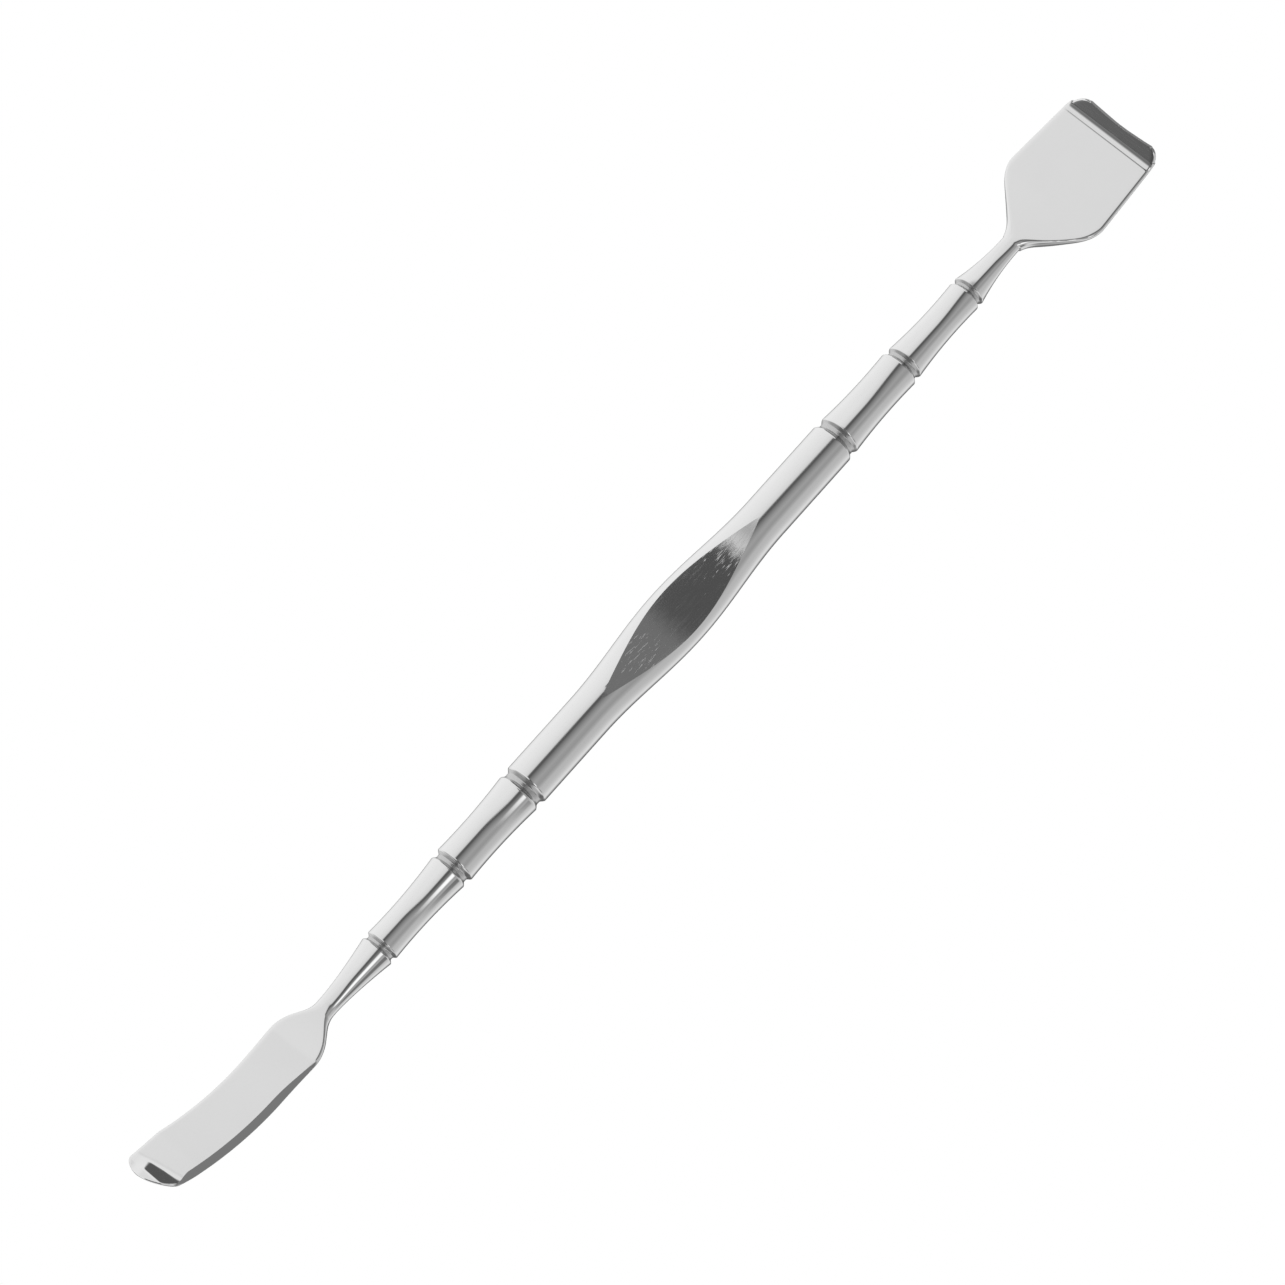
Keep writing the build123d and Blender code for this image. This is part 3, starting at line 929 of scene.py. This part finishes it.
def sky():
    """Soft room light round the X axis: bright behind, a dark band overhead, grey in front.

    x says how far a direction leans to the broad blade's end, around is its angle round the
    bar in degrees."""
    world = bpy.data.worlds.new("Studio")
    bpy.context.scene.world = world
    world.use_nodes = True
    nodes = world.node_tree.nodes
    bench = NodeBench(world.node_tree)

    def band(low, full, high, gone):
        """A band round the bar that fades in and out."""
        return bench.product(bench.ramp_up(around, low, full), bench.ramp_down(around, high, gone))

    split = nodes.new("ShaderNodeSeparateXYZ")
    bench.feed(split.inputs[0], nodes.new("ShaderNodeTexCoord").outputs["Generated"])
    x, y, z = split.outputs
    minus_x, minus_y = (bench.product(axis, -1.0) for axis in (x, y))
    around = bench.math("DEGREES", bench.math("ARCTAN2", minus_y, z))
    from_top = bench.math("ABSOLUTE", around)

    # the tones round the bar, with the band overhead moved round except in the middle
    leaning = bench.math("ADD", bench.ramp_down(x, 0.05, 0.16), bench.ramp_up(x, 0.24, 0.40))
    shift = bench.product(leaning, OVERHEAD_SHIFT)
    shift = bench.product(shift, bench.ramp_down(from_top, 30, 60))
    turned = bench.math("SUBTRACT", around, shift)
    ramp = sky_ramp(nodes, SKY_TONES)
    bench.feed(ramp.inputs["Fac"], bench.math("MULTIPLY_ADD", turned, 1 / 360, 0.5))

    # on the narrow blade's side, a lighter band above a darker one
    left = bench.ramp_down(x, 0.0, 0.14)
    lift = bench.product(band(26, 36, 46, 56), left)
    value = bench.math("MULTIPLY_ADD", lift, 0.8, ramp.outputs["Color"])
    sink = bench.product(band(64, 74, 88, 102), left)
    value = bench.product(value, bench.remainder(bench.product(sink, 0.65)))

    # the dark left end of the room, paler behind and with one light strip
    start = bench.math("MULTIPLY_ADD", bench.ramp_up(around, -4, 12), 0.16, -0.35)
    left_end = bench.ramp_up(bench.math("SUBTRACT", start, x), 0.0, 0.28)
    left_end = bench.product(left_end, bench.ramp_down(around, 145, 165))
    dark = tone(END_TONE)
    behind = bench.ramp_down(around, -50, -8)
    end_value = bench.math("MULTIPLY_ADD", behind, tone(END_BEHIND_TONE) - dark, dark)
    strip = band(46, 66, 108, 132)
    end_value = bench.math("MULTIPLY_ADD", strip, tone(END_STRIP_TONE) - dark, end_value)

    # the darker right end, and a bright rim low down behind on the left
    right_end = bench.product(bench.ramp_up(x, 0.75, 0.83), bench.ramp_down(from_top, 125, 145))
    left_rim = bench.ramp_down(around, -130, -90)
    left_rim = bench.product(left_rim, bench.ramp_up(minus_x, 0.05, 0.25))

    value = bench.mix(left_end, value, end_value)
    value = bench.mix(right_end, value, tone(RIGHT_END_TONE))
    value = bench.mix(left_rim, value, tone(LEFT_RIM_TONE))
    bench.feed(nodes["Background"].inputs["Strength"], value)
    nodes["Background"].inputs["Color"].default_value = (1, 1, 1, 1)


def glow(name, strength):
    """A plain light-giving surface for a card."""
    made = bpy.data.materials.new(name)
    made.use_nodes = True
    nodes, links = made.node_tree.nodes, made.node_tree.links
    nodes.remove(nodes["Principled BSDF"])
    light = nodes.new("ShaderNodeEmission")
    light.inputs["Strength"].default_value = strength
    links.new(light.outputs[0], nodes["Material Output"].inputs["Surface"])
    return made


def card(name, low, high, z, strength):
    """A level rectangle from low to high (x, y) that gives light but casts no shadow."""
    deselect_all()
    bpy.ops.mesh.primitive_plane_add(size=1, location=(0, 0, 0))
    flag = bpy.context.object
    flag.name = name
    bpy.ops.transform.resize(value=(high[0] - low[0], high[1] - low[1], 1))
    middle = ((low[0] + high[0]) / 2, (low[1] + high[1]) / 2, z)
    bpy.ops.transform.translate(value=middle)
    bpy.ops.object.transform_apply(location=True, rotation=True, scale=True)
    flag.data.materials.append(glow(name, strength))
    flag.visible_shadow = False
    flag.visible_diffuse = False
    return flag


def reflected_card(name, low, high, z, value):
    """A card of a given tone that is seen only in the steel."""
    flag = card(name, low, high, z, tone(value))
    flag.visible_camera = False
    return flag


FLOOR_HALF = 30  # metres, far past the edge of any view
FLOOR_GAP = 0.02 * MM
GREY_CARD = ((-10.6 * MM, -2.5 * MM), (4 * MM, 5.5 * MM), 15 * MM, 112)
DARK_STRIPS = 24
DARK_TONE = 80
DARK_Z = 14.9 * MM
DARK_LOW_Y = -2.5 * MM
DARK_WIDTH = 8 * MM
DARK_LEFT, DARK_RIGHT = 1.9 * MM, 10.2 * MM
LEFT_RAG, RIGHT_RAG = 0.5 * MM, 0.75 * MM
BEVEL_CARD = ((-90 * MM, -3 * MM), (-69.5 * MM, 9 * MM), 0, 118)
BEVEL_CARD_Y = -15 * MM
CAMERA_AIM = Vector((-5.9, 1.0, 0)) * MM
CAMERA_WAY = Vector((-0.24, -0.156, 0.958)).normalized()
CAMERA_DISTANCE = 447 * MM
CAMERA_ROLL = math.radians(48.09)
CAMERA_SENSOR = 36
CAMERA_LENS = 106.46
CAMERA_CLIP = (0.01, 20)


def ragged_card():
    """The dark card over the grip, in strips whose ends are uneven."""
    width = DARK_WIDTH / DARK_STRIPS
    for number in range(DARK_STRIPS):
        low = DARK_LOW_Y + number * width
        left = DARK_LEFT + LEFT_RAG * math.sin(3.7 * number)
        ragged = math.sin(2.4 * number) + 0.6 * math.sin(5.1 * number + 1)
        right = DARK_RIGHT + RIGHT_RAG * ragged
        name = f"dark_card_{number}"
        reflected_card(name, (left, low), (right, low + width), DARK_Z, DARK_TONE)


def upright_card():
    """The card that the narrow blade's bevel reflects, turned upright in front of it."""
    flag = reflected_card("bevel_card", *BEVEL_CARD)
    activate(flag)
    bpy.ops.object.mode_set(mode="EDIT")
    bpy.ops.mesh.select_all(action="SELECT")
    upright = {"value": -math.pi / 2, "orient_axis": "X", "orient_type": "GLOBAL"}
    bpy.ops.transform.rotate(**upright, center_override=(0, 0, 0))
    bpy.ops.transform.translate(value=(0, BEVEL_CARD_Y, 0))
    bpy.ops.object.mode_set(mode="OBJECT")


def add_camera(scene):
    """The camera, rolled about the way it looks so that the tool lies aslant."""
    lens = bpy.data.cameras.new("camera")
    lens.sensor_width = CAMERA_SENSOR
    lens.lens = CAMERA_LENS
    lens.clip_start, lens.clip_end = CAMERA_CLIP
    camera = bpy.data.objects.new("camera", lens)
    scene.collection.objects.link(camera)
    along = (Vector((1, 0, 0)) - CAMERA_WAY * CAMERA_WAY.x).normalized()
    across = CAMERA_WAY.cross(along)
    right = math.cos(CAMERA_ROLL) * along - math.sin(CAMERA_ROLL) * across
    up = math.sin(CAMERA_ROLL) * along + math.cos(CAMERA_ROLL) * across
    turn = Matrix((right, up, CAMERA_WAY)).transposed()
    spot = Matrix.Translation(CAMERA_AIM + CAMERA_DISTANCE * CAMERA_WAY)
    camera.matrix_world = spot @ turn.to_4x4()
    scene.camera = camera


class SPATULA_OT_stage(bpy.types.Operator):
    """Pale floor, soft surrounding light and the camera"""

    bl_idname = "spatula.stage"
    bl_label = "Stage"

    def execute(self, context):
        scene = context.scene
        scene.view_settings.view_transform = "Standard"
        scene.view_settings.look = "None"
        sky()
        corner = (FLOOR_HALF, FLOOR_HALF)
        floor_z = HANDLE_LOW.z - FLOOR_GAP
        floor = card("floor", (-FLOOR_HALF, -FLOOR_HALF), corner, floor_z, 1.0)
        floor.visible_glossy = False
        reflected_card("grey_card", *GREY_CARD)
        ragged_card()
        upright_card()
        add_camera(scene)
        return {"FINISHED"}


class SPATULA_PT_panel(bpy.types.Panel):
    """Sizes, finish and pieces of the spatula"""

    bl_idname = "SPATULA_PT_panel"
    bl_label = "Spatula"
    bl_space_type = "VIEW_3D"
    bl_region_type = "UI"
    bl_category = "Spatula"

    def draw(self, context):
        for group in (context.scene.spatula_sizes, context.scene.spatula_finish):
            box = self.layout.box()
            for name in group.__annotations__:
                box.prop(group, name)
        for operator in OPERATORS:
            self.layout.operator(operator.bl_idname)


OPERATORS = (
    SPATULA_OT_finishes,
    SPATULA_OT_handle,
    SPATULA_OT_broad_blade,
    SPATULA_OT_narrow_blade,
    SPATULA_OT_stage,
)
CLASSES = (SpatulaSizes, SpatulaFinish, *OPERATORS, SPATULA_PT_panel)


def register():
    for each in CLASSES:
        bpy.utils.register_class(each)
    bpy.types.Scene.spatula_sizes = bpy.props.PointerProperty(type=SpatulaSizes)
    bpy.types.Scene.spatula_finish = bpy.props.PointerProperty(type=SpatulaFinish)


def unregister():
    del bpy.types.Scene.spatula_finish
    del bpy.types.Scene.spatula_sizes
    for each in reversed(CLASSES):
        bpy.utils.unregister_class(each)


def main():
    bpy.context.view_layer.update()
    register()
    bpy.ops.spatula.finishes()
    bpy.ops.spatula.handle()
    bpy.ops.spatula.broad_blade()
    bpy.ops.spatula.narrow_blade()
    bpy.ops.spatula.stage()
    deselect_all()


if __name__ == "__main__":
    main()
